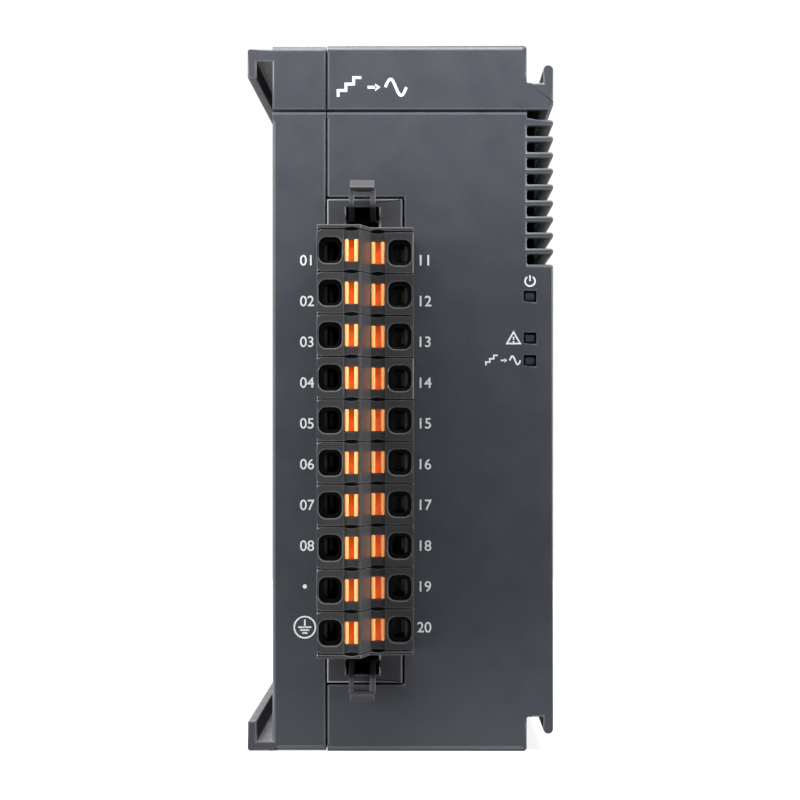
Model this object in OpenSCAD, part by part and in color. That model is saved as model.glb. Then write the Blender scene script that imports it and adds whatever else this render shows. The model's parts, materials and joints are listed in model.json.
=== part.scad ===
// Analogue output module of a slim controller, with a removable two-tier push-in terminal plug.
// X points right, Y points back and Z points up, seen from the front.
// The origin is the middle of the flat face that rests on the DIN rail.

/* [Housing] */
// Width of the module, which is also its pitch beside its neighbours
body_w = 35; // [34.5:0.1:36]
// Height of the right half, which is the taller one
body_h = 88; // [87:0.5:92]
// Depth from the front panel to the rear face
body_d = 75; // [74:1:90]
// Width of the left half's strip of the front panel
strip_w = 6.75; // [6.6:0.05:6.9]
// Thickness of the moulded walls
wall = 1.6; // [1.4:0.1:1.7]
// Width of the dark joint line between the two halves
seam = 0.2; // [0.1:0.05:0.3]
// Size of the chamfer on the front and rear edges
edge = 0.4; // [0.2:0.1:0.6]

/* [DIN rail seat] */
// Depth of the recess that the rail enters
rail_depth = 7; // [6.5:0.5:7.5]
// Height of the recess above the rail's centre line
recess_top = 17.75; // [17.7:0.05:17.9]
// Depth of the recess below the rail's centre line
recess_bottom = 18; // [17.8:0.1:18.2]
// Travel of the rail clip
clip_travel = 4; // [3:0.5:4]

/* [Terminal block] */
// Height of the block's centre above the rail's centre line
block_z = -5.3; // [-6:0.1:-4]
// Distance from one terminal to the next
pitch = 5.08; // [5:0.01:5.1]
// How far the left tier stands in front of the panel
tall_tier = 14; // [13:0.5:15]
// How far the right tier stands in front of the panel
low_tier = 9; // [8.5:0.1:9.5]
// Width of a wire entry
entry_w = 2.8; // [2.6:0.1:2.8]
// Height of a wire entry
entry_h = 3.1; // [2.8:0.1:3.3]
// Width of a release button
button_w = 1.68; // [1.4:0.02:1.7]
// Height of a release button
button_h = 2.65; // [2.3:0.05:2.8]
// Clearance around a release button
button_gap = 0.05; // [0.03:0.01:0.08]
// Travel of a release button
button_travel = 1.2; // [0.8:0.1:1.2]

/* [Vents and lamps] */
// Number of vent slots in the right front corner
vent_count = 10; // [4:1:10]
// Distance from one vent slot to the next
vent_pitch = 2; // [1.8:0.05:2]
// Height of a vent slot
vent_h = 1.25; // [1:0.05:1.3]
// Length of the vent slots along the side wall
vent_length = 22; // [10:1:30]
// Height of the power lamp above the rail's centre line
power_lamp_z = 12.7; // [10:0.1:14]
// Height of the error lamp above the rail's centre line
error_lamp_z = 7.5; // [7:0.1:8]
// Height of the ready lamp above the rail's centre line
ready_lamp_z = 4.7; // [2:0.1:5]
// Width of a lamp window
lamp_w = 1.62; // [1.4:0.02:1.7]
// Height of a lamp window
lamp_h = 1.43; // [1.2:0.01:1.5]

/* [Hidden] */
ROWS = 10;

housing_grey = [0.30, 0.31, 0.34];
block_grey = [0.18, 0.18, 0.20];
clip_grey = [0.45, 0.46, 0.48];
button_orange = [0.93, 0.40, 0.14];
board_green = [0.06, 0.30, 0.18];
chip_black = [0.09, 0.09, 0.10];
gold = [0.83, 0.66, 0.28];
steel = [0.70, 0.71, 0.73];

slack = 1;              // how far a cutting tool runs past the face that it cuts
x_left = -body_w / 2;
x_right = body_w / 2;
split_x = x_left + strip_w;
back_y = rail_depth;
front_y = back_y - body_d;
half_h = body_h / 2;
left_half_h = half_h - 0.1;     // the left half is slightly lower, so the joint shows as a step
seat_wall = 0.4;        // wall between the inside and the clip's channel, in front of the seat
inner_x = x_right - wall;

// Fixed hook behind the rail's upper edge. The seat is sunk a little behind the hook and the
// rail clip's nose, so the rail rests only on the flat face between them.
lip_z = 16.2;
lip_y = 1.35;
seat_relief = 0.1;
relief_margin = 0.2;

// Groove across the front that marks off the top strip
groove_z = 35.65;
groove_h = 0.28;
groove_d = 0.6;
corner_x = x_right - 3.3;   // where the groove ends, and the vents and side notches begin

// Side rails on the left, as [inner face, outer face, tip of the lip], and the notches
// on the right that a neighbour's rails enter, as [floor, tip of the fin]
rail_reach = 3.1;
rail_lip = 1.15;
rail_end_y = back_y - 5;
top_rail = [41.9, 43.5, 39.8];
bottom_rail = [42.7, 43.9, 40.2];
top_notch = [39.3, 41.5];
bottom_notch = [39.7, 41.8];
notch_w = 2.05;
notch_wall = 1.5;
fin_r = (3.3 - notch_w) / 2;

// Pocket and header
block_x = split_x + 5.125;          // the plug's middle plane
pocket_right = split_x + 9.65;
pocket_half = 30.33;
header_gap = 0.2;
header_left = split_x + 0.06;
header_right = pocket_right - header_gap;
header_half = pocket_half - header_gap;
header_front = front_y - 0.3;
header_back = front_y + 14;
cavity_floor = front_y + 11.5;
nose_half = 3.7;                    // half the width of the plug's nose
nose_gap = 0.12;
nose_z_half = 25.35;
pin_u = 2.54;                       // a pin row's distance from the middle plane
pin_w = 1;

// Latches, as distances from the block's centre and positions behind the panel
latch_x = block_x - 0.625;
latch_half = 1.65;
latch_arm = 0.65;
slot_half = 2.05;
slot_in = 26.2;
slot_out = 29.1;
pivot_y = front_y + 3.5;
pivot_z = 27.6;
pivot_r = 0.5;
pivot_gap = 0.05;

// Plug
plug_half = ROWS * pitch / 2 + 0.55;
plug_left = block_x - 5.775;
plug_right = block_x + 5.775;
tall_y = front_y - tall_tier;
low_y = front_y - low_tier;
plug_back = front_y - 0.6;
plug_split = front_y - 2.2;         // joint between the plug's body and its base
nose_back = front_y + 10;
entry_u = [4.145, 4.095];           // [left, right] distances from the middle plane
button_u = [1.605, 1.455];
channel_d = 0.15;                   // depth of the channel that a column of buttons sits in
channel_half = button_w / 2 + button_gap;
step_x = [block_x - 0.475, block_x + button_u[1] - channel_half];   // top and foot of the slope
tier_y = [tall_y, low_y];
chamber_y = [tall_y + 5, low_y + 2.6];
chamber_u = [0.5, 5.175];
chamber_h = 4.1;
funnel_depth = 2.2;
foot_w = 2.1;
foot_y = 0.8;
strip_t = 0.25;
seam_h = 0.14;
seam_d = 0.6;

// Boards
board_t = 1.6;
io_board_x = split_x - 2.15;        // left face of the board that carries the header
logic_board_x = corner_x - 3.3;     // left face of the board beside the lamps
board_half = 41.4;
board_front = front_y + 4;
board_back = -4;
io_face = io_board_x + board_t;
logic_face = logic_board_x + board_t;
lamp_x = corner_x + 0.4;
lamp_gap = 0.06;
lamp_z = [power_lamp_z, error_lamp_z, ready_lamp_z];

// Recess for the rating label, on the right side
label_y = [front_y + 8, front_y + 60];
label_z = [-36, -13];

// Connector between the boards
link_y = [-17, -12];
link_z = [26, 36];
link_pin = 0.64;

// Contacts to the neighbours
bus_y = [front_y + 37, front_y + 55];
bus_half = 9;
bus_count = 8;
bus_pitch = 2;

// Rail clip
clip_half = 8;
clip_y = [1.4, 4.6];
clip_gap = 0.1;
clip_top = -recess_bottom - 0.3;
clip_bottom = -half_h + 0.3;
nose_top = -recess_bottom + 1.7;
window_half = 1.75;
ledge = [-half_h + 5.4, -half_h + 7];
window_top = ledge[1] + 10.5 + clip_travel;     // the spring keeps 10.5 when the clip is pulled
window_bottom = ledge[0] - 0.1;
spring_r = 1.25;
spring_wire = 0.2;
spring_turns = 8;

function row_z(k) = block_z + pitch * ((ROWS - 1) / 2 - k);
function side_x(side, u) = block_x + (side == 0 ? -u : u);
function arc(c, r, a0, a1, n = 8) =
    [for (i = [0 : n]) let (a = a0 + (a1 - a0) * i / n) [c[0] + r * cos(a), c[1] + r * sin(a)]];
function round_rect(w, h, r, n = 4) = concat(
    arc([w / 2 - r, h / 2 - r], r, 0, 90, n), arc([r - w / 2, h / 2 - r], r, 90, 180, n),
    arc([r - w / 2, r - h / 2], r, 180, 270, n), arc([w / 2 - r, r - h / 2], r, 270, 360, n));

// Outline of a bent strip: the path p, and the same path moved t to its left
function unit(v) = v / norm(v);
function strip(p, t) = concat(p, [for (i = [len(p) - 1 : -1 : 0])
    let (a = unit(i > 0 ? p[i] - p[i - 1] : p[1] - p[0]),
         b = unit(i < len(p) - 1 ? p[i + 1] - p[i] : p[i] - p[i - 1]))
    p[i] + t * [-a[1] - b[1], a[0] + b[0]] / (1 + a * b)]);

// Extrudes an outline drawn in (Y, Z) along X
module along_x(x0, x1) translate([x0, 0, 0]) rotate([90, 0, 90]) linear_extrude(x1 - x0) children();

// Extrudes an outline drawn in (X, Z) along Y
module along_y(y0, y1) translate([0, y1, 0]) rotate([90, 0, 0]) linear_extrude(y1 - y0) children();

// Extrudes an outline drawn in (X, Y) along Z
module along_z(z0, z1) translate([0, 0, z0]) linear_extrude(z1 - z0) children();

module box(lo, hi) translate(lo) cube(hi - lo);

// A box on one side of the plug's middle plane, from u0 to u1 away from it
module side_box(side, u, y, z) {
    x = [side_x(side, u[0]), side_x(side, u[1])];
    box([min(x), y[0], z[0]], [max(x), y[1], z[1]]);
}

// ---- Housing ----

// Outer side outline, with the rail recess and its fixed hook
function outer_side(h) = [
    [front_y, edge - h], [front_y, h - edge], [front_y + edge, h], [back_y - edge, h],
    [back_y, h - edge], [back_y, lip_z], [lip_y, lip_z], [lip_y, recess_top],
    [-seat_relief, recess_top], [-seat_relief, lip_z - relief_margin], [0, lip_z - relief_margin],
    [0, -recess_bottom], [back_y, -recess_bottom], [back_y, edge - h], [back_y - edge, -h],
    [front_y + edge, -h]];

// Side outline of the inside, t in from the outer faces
function inner_side(h, t) = [
    [front_y + t, t - h], [front_y + t, h - t], [back_y - t, h - t],
    [back_y - t, recess_top + t], [-t, recess_top + t], [-t, -recess_bottom - t],
    [back_y - t, -recess_bottom - t], [back_y - t, t - h]];

module front_groove(x0, x1) along_x(x0, x1) polygon([
    [front_y - slack, groove_z - 0.25], [front_y, groove_z - 0.25], [front_y + 0.22, groove_z],
    [front_y + groove_d, groove_z], [front_y + groove_d, groove_z + groove_h],
    [front_y - slack, groove_z + groove_h]]);

// Hooked rail along the left side, drawn for the top
module side_rail(r, corner = 0.4) along_y(front_y, rail_end_y) polygon(concat(
    [[x_left + 0.1, r[1]]],
    arc([x_left - rail_reach + corner, r[1] - corner], corner, 90, 180, 4),
    [[x_left - rail_reach, r[2]], [x_left - rail_reach + rail_lip, r[2]],
     [x_left - rail_reach + rail_lip, r[0]], [x_left + 0.1, r[0]]]));

// Ribs that hold a circuit board's lower and upper edges
module board_ribs(x0, x1, inner_h, slot_x) difference() {
    for (side = [-1, 1]) box([x0, board_front + 2, side > 0 ? inner_h - 2 : -inner_h - 0.2],
                             [x1, board_back - 2, side > 0 ? inner_h + 0.2 : 2 - inner_h]);
    box([slot_x, board_front - slack, -board_half], [slot_x + board_t, board_back + slack, board_half]);
}

module left_housing() color(housing_grey) difference() {
    union() {
        difference() {
            along_x(x_left, split_x - seam / 2) polygon(outer_side(left_half_h));
            along_x(x_left + wall, split_x + slack) polygon(inner_side(left_half_h, wall));
            // rebate for the right half's tongue
            along_x(split_x - 1.1, split_x + slack) polygon(inner_side(left_half_h, wall / 2));
        }
        side_rail(top_rail);
        mirror([0, 0, 1]) side_rail(bottom_rail);
        board_ribs(io_board_x - 1.2, io_board_x + 0.95, left_half_h - wall, io_board_x);
    }
    front_groove(x_left - rail_reach - slack, split_x + slack);
    // window for the wiping contacts
    box([x_left - slack, bus_y[0] - 0.2, -bus_half - 0.2],
        [x_left + wall + 0.1, bus_y[1] + 0.2, bus_half + 0.2]);
}

// Front outline of what is cut from a right-hand corner, drawn for the top
module notch_cut(n) along_y(front_y - slack, back_y + slack) polygon(concat(
    [[corner_x - 0.5, half_h + slack]],
    arc([corner_x - 0.5, half_h - 0.5], 0.5, 90, 0, 4),
    [[corner_x, n[0] + 0.15], [corner_x + 0.15, n[0]], [corner_x + notch_w, n[0]]],
    arc([x_right - fin_r, n[1] - fin_r], fin_r, 180, 0, 8),
    [[x_right + slack, n[1] - fin_r], [x_right + slack, half_h + slack]]));

module vents() for (k = [0 : vent_count - 1])
    box([corner_x, front_y - slack, groove_z + groove_h - vent_h - k * vent_pitch],
        [x_right + slack, front_y + vent_length, groove_z + groove_h - k * vent_pitch]);

module right_inside() difference() {
    along_x(split_x - slack, inner_x) polygon(inner_side(half_h, wall));
    // walls around the side notches
    box([corner_x - notch_wall, front_y, top_notch[0] - notch_wall], [x_right, back_y, half_h]);
    box([corner_x - notch_wall, front_y, -half_h], [x_right, back_y, notch_wall - bottom_notch[0]]);
    // solid block around the clip's channel
    box([-clip_half - wall, -seat_wall, -half_h], [clip_half + wall, back_y, -recess_bottom]);
}

module clip_channel() {
    box([-clip_half - clip_gap, clip_y[0] - clip_gap, -half_h - slack],
        [clip_half + clip_gap, clip_y[1] + clip_gap, 0.1 - recess_bottom]);
    // opening that shows the clip from behind and leaves a guide over each of its edges
    box([1.7 - clip_half, clip_y[1], -half_h - slack],
        [clip_half - 1.7, back_y + slack, 0.1 - recess_bottom]);
    box([-clip_half - relief_margin, -seat_relief, -recess_bottom],
        [clip_half + relief_margin, slack, nose_top + relief_margin]);
}

module right_housing() color(housing_grey) difference() {
    union() {
        difference() {
            along_x(split_x + seam / 2, x_right) polygon(outer_side(half_h));
            right_inside();
            clip_channel();
        }
        // tongue that enters the left half's rebate
        difference() {
            along_x(split_x - 1, split_x + seam) polygon(inner_side(left_half_h, wall / 2 + 0.05));
            along_x(split_x - 1 - slack, split_x + 1) polygon(inner_side(left_half_h, wall));
        }
        board_ribs(logic_board_x - 1.3, logic_face + 0.35, half_h - wall, logic_board_x);
        // ledge inside the clip's window, which its spring stands on
        box([-window_half + 0.25, clip_y[0] - 0.2, ledge[0]], [window_half - 0.25, clip_y[1], ledge[1]]);
    }
    notch_cut(top_notch);
    mirror([0, 0, 1]) notch_cut(bottom_notch);
    vents();
    // chamfer under the corner block, above the first vent
    along_y(front_y - slack, front_y + vent_length) polygon([
        [x_right - 0.4, groove_z + groove_h - 0.01], [x_right + slack, groove_z + groove_h - 0.01],
        [x_right + slack, groove_z + groove_h + 0.6], [x_right, groove_z + groove_h + 0.6]]);
    front_groove(split_x - slack - 1, corner_x);
    box([split_x - 1 - slack, front_y - slack, block_z - pocket_half],
        [pocket_right, front_y + wall + 0.4, block_z + pocket_half]);
    for (z = lamp_z) box([lamp_x - lamp_w / 2, front_y - slack, z - lamp_h / 2],
                         [lamp_x + lamp_w / 2, front_y + wall + slack, z + lamp_h / 2]);
    box([inner_x - 0.1, bus_y[0] - 0.2, -bus_half - 0.2],
        [x_right + slack, bus_y[1] + 0.2, bus_half + 0.2]);
    // shallow recess for the rating label
    box([x_right - 0.3, label_y[0] - 0.2, label_z[0] - 0.2],
        [x_right + slack, label_y[1] + 0.2, label_z[1] + 0.2]);
}

module rating_label() color([0.80, 0.81, 0.82])
    box([x_right - 0.3, label_y[0], label_z[0]], [x_right - 0.1, label_y[1], label_z[1]]);

// ---- Header, latches and plug ----

// Puts a child drawn at the block's centre, for its top end, at the given end
module at_end(end) translate([0, 0, block_z]) mirror([0, 0, end == "top" ? 0 : 1]) children();

module latch_pin() translate([latch_x - 3.1, pivot_y, pivot_z]) rotate([0, 90, 0])
    cylinder(r = pivot_r, h = 6.2, $fn = 32);

module terminal_header() color(block_grey) difference() {
    box([header_left, header_front, block_z - header_half],
        [header_right, header_back, block_z + header_half]);
    box([block_x - nose_half - nose_gap, header_front - slack, block_z - nose_z_half - nose_gap],
        [block_x + nose_half + nose_gap, cavity_floor, block_z + nose_z_half + nose_gap]);
    for (end = ["top", "bottom"]) at_end(end) {
        box([latch_x - slot_half, header_front - slack, slot_in],
            [latch_x + slot_half, front_y + 8, slot_out]);
        latch_pin();
    }
    for (k = [0 : ROWS - 1], side = [0, 1])
        side_box(side, [pin_u - pin_w / 2, pin_u + pin_w / 2],
                 [cavity_floor - slack, header_back + slack], [row_z(k) - pin_w / 2, row_z(k) + pin_w / 2]);
}

module header_pins() color(gold) for (k = [0 : ROWS - 1], side = [0, 1]) {
    x = side_x(side, pin_u);
    z = row_z(k);
    bend_y = header_back + 2 + 3 * side;
    along_z(z - pin_w / 2, z + pin_w / 2) polygon([
        [x - pin_w / 2, front_y + 1.5], [x + pin_w / 2, front_y + 1.5],
        [x + pin_w / 2, bend_y + pin_w], [io_board_x - 0.8, bend_y + pin_w],
        [io_board_x - 0.8, bend_y], [x - pin_w / 2, bend_y]]);
}

module latch_pins() color(steel) for (end = ["top", "bottom"]) at_end(end) latch_pin();

// Release latch, drawn for the top end: two arms from the pivot, joined by a sloped finger tab
module latch() color(block_grey) difference() {
    union() {
        for (x = [latch_x - latch_half, latch_x + latch_half - latch_arm]) along_x(x, x + latch_arm)
            polygon([for (p = [
                [4.4, -0.6], [-0.9, -0.3], [-2.5, 1.2], [-2.6, 3.6], [-1.4, 3.6], [-1.4, 1.7],
                [-0.8, 0.6], [4.4, 0.6]]) [front_y + p[0], pivot_z + p[1]]]);
        along_x(latch_x - latch_half + 0.15, latch_x + latch_half - 0.15)
            polygon([for (p = [[-1.4, 3.3], [-2.6, 3.3], [-3.4, 3.7], [-2.2, 4.7], [-1.4, 4.7]])
                [front_y + p[0], pivot_z + p[1]]]);
        translate([latch_x - latch_half, pivot_y, pivot_z]) rotate([0, 90, 0])
            cylinder(r = 1.05, h = 2 * latch_half, $fn = 32);
    }
    translate([latch_x - latch_half - slack, pivot_y, pivot_z]) rotate([0, 90, 0])
        cylinder(r = pivot_r + pivot_gap, h = 2 * (latch_half + slack), $fn = 32);
}

module latch_top() at_end("top") latch();

module latch_bottom() at_end("bottom") latch();

// Outline of the plug from above, t in from its outer faces
function plug_plan(t, y_back) = [
    [plug_left + t, y_back], [plug_left + t, tall_y + t], [step_x[0] - t / 2, tall_y + t],
    [step_x[1] - t / 2, low_y + t], [plug_right - t, low_y + t], [plug_right - t, y_back]];

// Lens-shaped recess that the row joints widen into beside the buttons
module seam_lens(x, y0, half_w) translate([x, 0, 0]) along_y(y0 - slack, y0 + 1)
    polygon(concat(arc([0, -1.95], 2.2, 90 - half_w, 90 + half_w, 6),
                   arc([0, 1.95], 2.2, 270 - half_w, 270 + half_w, 6)));

// Joint between two rows, with a wider notch at the plug's left edge
module row_seam() {
    along_z(-seam_h / 2, seam_h / 2) difference() {
        polygon(plug_plan(-slack, plug_back + slack));
        polygon(plug_plan(seam_d, plug_back + 2 * slack));
    }
    seam_lens(side_x(0, button_u[0]), tall_y, 26.8);
    seam_lens(side_x(1, button_u[1]), low_y, 26.8);
    along_y(tall_y - slack, tall_y + 1.2)
        polygon([[plug_left - 0.1, -0.34], [plug_left + 0.55, 0], [plug_left - 0.1, 0.34]]);
}

// Space inside the plug for one terminal: wire funnel, wire path, button pocket and chamber
module terminal_space(side, z) {
    y0 = tier_y[side];
    u = entry_u[side];
    translate([side_x(side, u), 0, z]) {
        along_y(y0 - slack, y0 + funnel_depth) polygon(round_rect(entry_w, entry_h, 0.9));
        along_y(y0, chamber_y[side] + slack) polygon(round_rect(1.9, 2.3, 0.7));
    }
    column = [button_u[side] - channel_half, button_u[side] + channel_half];
    h = button_h / 2 + button_gap;
    side_box(side, column, [y0 - slack, chamber_y[side] + slack], [z - h, z + h]);
    side_box(side, column, [y0 - slack, y0 + channel_d], [z - pitch / 2, z + pitch / 2]);
    side_box(side, chamber_u, [chamber_y[side], plug_split + slack],
             [z - chamber_h / 2, z + chamber_h / 2]);
}

module plug_body() color(block_grey) difference() {
    along_z(block_z - plug_half, block_z + plug_half) polygon(plug_plan(0, plug_split));
    for (k = [0 : ROWS - 1], side = [0, 1]) terminal_space(side, row_z(k));
    for (k = [0 : ROWS]) translate([0, 0, row_z(k) + pitch / 2]) row_seam();
}

module plug_base() color(block_grey) difference() {
    union() {
        box([plug_left + 0.05, plug_split, block_z - plug_half + 0.05],
            [plug_right - 0.05, plug_back, block_z + plug_half - 0.05]);
        box([block_x - nose_half, plug_split, block_z - nose_z_half],
            [block_x + nose_half, nose_back, block_z + nose_z_half]);
    }
    for (k = [0 : ROWS - 1], side = [0, 1])
        side_box(side, [pin_u - 0.9, pin_u + 0.9], [plug_split - slack, nose_back + slack],
                 [row_z(k) - 1.2, row_z(k) + 1.2]);
}

// Fork contact: a bar beside the wire, a bridge along the base and two tines around the pin
module plug_contacts() color(gold) for (k = [0 : ROWS - 1], side = [0, 1]) {
    z = row_z(k);
    union() {
        side_box(side, [4.675, 5.125], [chamber_y[side] + 0.2, plug_split - 0.05], [z - 1.1, z + 1.1]);
        side_box(side, [pin_u - 0.8, 5.125], [plug_split - 0.4, plug_split - 0.05], [z - 0.8, z + 0.8]);
        for (u = [pin_u - 0.8, pin_u + 0.55])
            side_box(side, [u, u + 0.25], [plug_split - 0.2, nose_back - 2], [z - 0.8, z + 0.8]);
    }
}

// Clamping spring: a bent strip whose long leaf presses the wire against the contact
module plug_springs() color(steel) for (k = [0 : ROWS - 1], side = [0, 1]) {
    y0 = chamber_y[side] + foot_y + button_travel + 0.15;
    y1 = plug_split - 0.5;
    loop = strip([[3, y1], [0.8, y1], [0.6, y1 - 0.2], [0.6, y0 + 0.2], [0.8, y0], [1.3, y0],
                  [4.2, y1 - 0.45]], strip_t);
    along_z(row_z(k) - 1, row_z(k) + 1) polygon([for (p = loop) [side_x(side, p[0]), p[1]]]);
}

// Release button: two ribs beside a driver channel, with a wider foot that keeps it in the plug
module button(side, k) color(button_orange) {
    w = button_w / 2;
    front = tier_y[side] + channel_d;
    foot = chamber_y[side] + 0.05;
    translate([side_x(side, button_u[side]), 0, row_z(k)]) union() {
        along_z(-button_h / 2, button_h / 2) polygon([
            [-w, front + 0.12], [0.12 - w, front], [-w + 0.4, front], [-w + 0.5, front + 0.12],
            [-0.3, front + 0.75], [0.3, front + 0.75], [w - 0.5, front + 0.12], [w - 0.4, front],
            [w - 0.12, front], [w, front + 0.12], [w, foot + foot_y], [-w, foot + foot_y]]);
        box([-foot_w / 2 + (side == 0 ? 0 : 0.2), foot, -button_h / 2 - 0.3],
            [foot_w / 2 - (side == 0 ? 0.1 : 0), foot + foot_y, button_h / 2 + 0.3]);
    }
}

// ---- Lamps ----

// Light pipe behind one lamp window, with a collar inside the wall
module light_pipe(i) color([0.55, 0.57, 0.58]) {
    w = lamp_w / 2 - lamp_gap;
    h = lamp_h / 2 - lamp_gap;
    box([lamp_x - w, front_y + 0.25, lamp_z[i] - h], [lamp_x + w, front_y + 8, lamp_z[i] + h]);
    box([lamp_x - w - 0.3, front_y + wall, lamp_z[i] - h - 0.3],
        [lamp_x + w + 0.3, front_y + wall + 0.8, lamp_z[i] + h + 0.3]);
}

module light_pipe_power() light_pipe(0);

module light_pipe_error() light_pipe(1);

module light_pipe_ready() light_pipe(2);

module indicator_leds() color([0.9, 0.9, 0.85]) for (z = lamp_z)
    box([logic_face, front_y + 8.3, z - 0.8], [lamp_x + 0.7, front_y + 10.3, z + 0.8]);

// ---- Boards and what they carry ----

module io_board() color(board_green) difference() {
    box([io_board_x, board_front, -board_half], [io_face, board_back, board_half]);
    for (k = [0 : ROWS - 1], side = [0, 1]) {
        y = header_back + 2 + 3 * side;
        box([io_board_x - slack, y, row_z(k) - pin_w / 2],
            [io_face + slack, y + pin_w, row_z(k) + pin_w / 2]);
    }
}

module logic_board() color(board_green)
    box([logic_board_x, board_front, -board_half], [logic_face, board_back, board_half]);

// A chip on a board's face: x0 and x1 are its faces, at is its centre in (Y, Z)
module chip(x0, x1, at, size) box([min(x0, x1), at[0] - size[0] / 2, at[1] - size[1] / 2],
                                  [max(x0, x1), at[0] + size[0] / 2, at[1] + size[1] / 2]);

module processor_chip() color(chip_black)
    chip(logic_board_x, logic_board_x - 1.4, [-38, 8], [14, 14]);

module converter_chips() color(chip_black) for (z = [-20, -8, 4, 16])
    chip(io_face, io_face + 1.6, [-36, z], [6.4, 7.8]);

module isolator_chips() color(chip_black) for (z = [-15, 0, 15])
    chip(io_face, io_face + 2.3, [-22, z], [7.5, 10.3]);

module power_module() color(chip_black)
    chip(io_face, io_face + 10, [-28.5, 33], [19.5, 10]);

module capacitors() color(steel) for (y = [-30, -18], z = [-32, -20])
    translate([logic_board_x - 10, y, z]) rotate([0, 90, 0]) cylinder(r = 4, h = 10, $fn = 48);

module link_rows(grow, x0, x1) for (z = [27 : 2 : 35], y = [-15.5, -13.5])
    box([x0, y - link_pin / 2 - grow, z - link_pin / 2 - grow],
        [x1, y + link_pin / 2 + grow, z + link_pin / 2 + grow]);

module board_link_socket() color(chip_black) difference() {
    box([logic_board_x - 8.5, link_y[0], link_z[0]], [logic_board_x, link_y[1], link_z[1]]);
    link_rows(0.03, logic_board_x - 8.5 - slack, logic_board_x - 1);
}

module board_link_pins() color(gold) {
    link_rows(0, io_face, logic_board_x - 3);
    box([io_face, link_y[0], link_z[0]], [io_face + 2.5, link_y[1], link_z[1]]);
}

// ---- Contacts to the neighbouring modules ----

module bus_rows() for (i = [0 : bus_count - 1])
    translate([0, 0, bus_pitch * (i - (bus_count - 1) / 2)]) children();

module bus_spring_carrier() color(block_grey) difference() {
    box([x_left + 0.2, bus_y[0], -bus_half], [io_board_x, bus_y[1], bus_half]);
    bus_rows() box([x_left - slack, bus_y[0] + 1.5, -0.65], [x_left + 1.8, bus_y[1] - 1.5, 0.65]);
}

module bus_springs() color(gold) bus_rows() along_z(-0.5, 0.5) polygon([
    for (p = strip([[1.6, 2], [-0.2, 7], [-0.6, 9], [-0.2, 11], [1.6, 16]], -strip_t))
    [x_left + p[0], bus_y[0] + p[1]]]);

module bus_pad_carrier() color(block_grey)
    box([logic_face, bus_y[0], -bus_half], [x_right - 0.5, bus_y[1], bus_half]);

module bus_pads() color(gold) bus_rows()
    box([x_right - 0.5, bus_y[0] + 2, -0.6], [x_right - 0.3, bus_y[1] - 2, 0.6]);

// ---- Rail clip ----

module din_clip() color(clip_grey) difference() {
    along_x(-clip_half, clip_half) polygon([
        [clip_y[0], clip_bottom], [clip_y[0], nose_top], [clip_y[0] + 0.7, nose_top],
        [clip_y[1], clip_top], [clip_y[1], clip_bottom]]);
    box([-window_half, clip_y[0] - slack, window_bottom], [window_half, clip_y[1] + slack, window_top]);
    // slot for a screwdriver's blade
    box([-3, clip_y[0] - slack, clip_bottom + 1.1], [3, clip_y[1] + slack, clip_bottom + 2.5]);
}

// Coil spring between the ledge and the top of the clip's window, swept as one tube
module clip_spring() color(steel) {
    sides = 6;
    per_turn = 10;
    rings = spring_turns * per_turn;
    z0 = ledge[1] + spring_wire + 0.02;
    z1 = window_top - spring_wire - 0.02;
    points = [for (i = [0 : rings], j = [0 : sides - 1])
        let (a = 360 * i / per_turn, b = 360 * j / sides, r = spring_r + spring_wire * cos(b))
        [r * cos(a), (clip_y[0] + clip_y[1]) / 2 + r * sin(a),
         z0 + (z1 - z0) * i / rings + spring_wire * sin(b)]];
    skin = [for (i = [0 : rings - 1], j = [0 : sides - 1])
        let (a = i * sides + j, b = a + sides, c = i * sides + (j + 1) % sides, d = c + sides)
        each [[a, b, d], [a, d, c]]];
    ends = [for (j = [1 : sides - 2]) each [[0, j, j + 1],
        [rings * sides, rings * sides + j + 1, rings * sides + j]]];
    polyhedron(points, concat(skin, ends));
}

left_housing();
right_housing();
rating_label();
terminal_header();
header_pins();
latch_pins();
latch_top();
latch_bottom();
plug_body();
plug_base();
plug_springs();
plug_contacts();
button(0, 0);  // button_l01
button(0, 1);  // button_l02
button(0, 2);  // button_l03
button(0, 3);  // button_l04
button(0, 4);  // button_l05
button(0, 5);  // button_l06
button(0, 6);  // button_l07
button(0, 7);  // button_l08
button(0, 8);  // button_l09
button(0, 9);  // button_l10
button(1, 0);  // button_r01
button(1, 1);  // button_r02
button(1, 2);  // button_r03
button(1, 3);  // button_r04
button(1, 4);  // button_r05
button(1, 5);  // button_r06
button(1, 6);  // button_r07
button(1, 7);  // button_r08
button(1, 8);  // button_r09
button(1, 9);  // button_r10
light_pipe_power();
light_pipe_error();
light_pipe_ready();
indicator_leds();
io_board();
logic_board();
processor_chip();
converter_chips();
isolator_chips();
power_module();
capacitors();
board_link_socket();
board_link_pins();
bus_spring_carrier();
bus_springs();
bus_pad_carrier();
bus_pads();
din_clip();
clip_spring();
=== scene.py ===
import json
import math

import bmesh
import bpy
from mathutils import Matrix, Vector

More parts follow.
